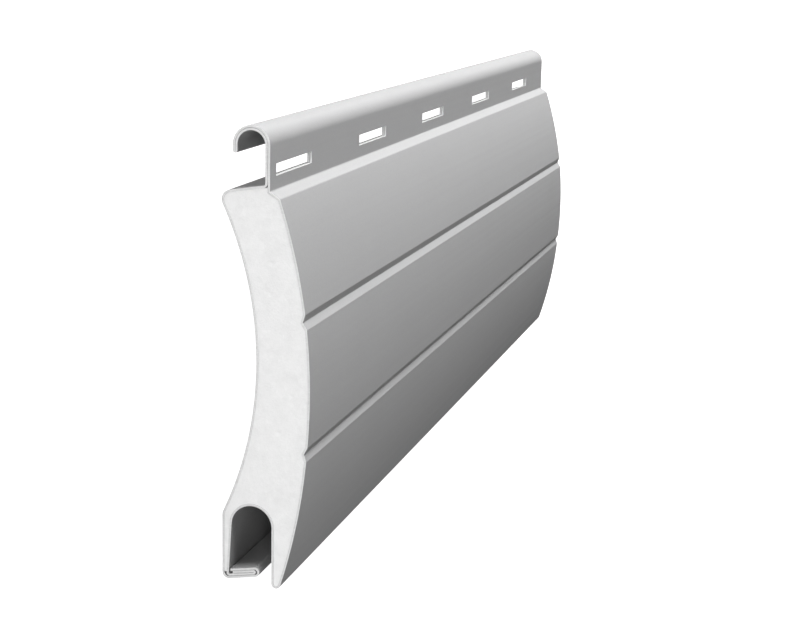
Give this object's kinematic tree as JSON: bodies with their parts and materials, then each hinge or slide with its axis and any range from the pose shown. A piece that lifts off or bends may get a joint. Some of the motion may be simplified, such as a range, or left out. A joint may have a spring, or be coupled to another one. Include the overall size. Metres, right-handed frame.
{
  "type": "roller shutter slat",
  "caption": "Curved roller shutter slat: a roll-formed aluminium strip round a foam core, with a slotted hook along one long edge and a pocket behind a lip along the other.",
  "frame": {"origin": "on the plane the slat lies on, under the middle of its length and of its overall height", "axes": "+X along the slat, +Y towards the hook edge, +Z out of the curved front face, up as it lies on its back"},
  "size_m": [0.195, 0.0672, 0.0132],
  "materials": {
    "grey_paint": "satin",
    "foam": "matte"
  },
  "bodies": {
    "root": {"aluminium_skin": "grey_paint", "foam_core": "foam"}
  },
  "joints": []
}
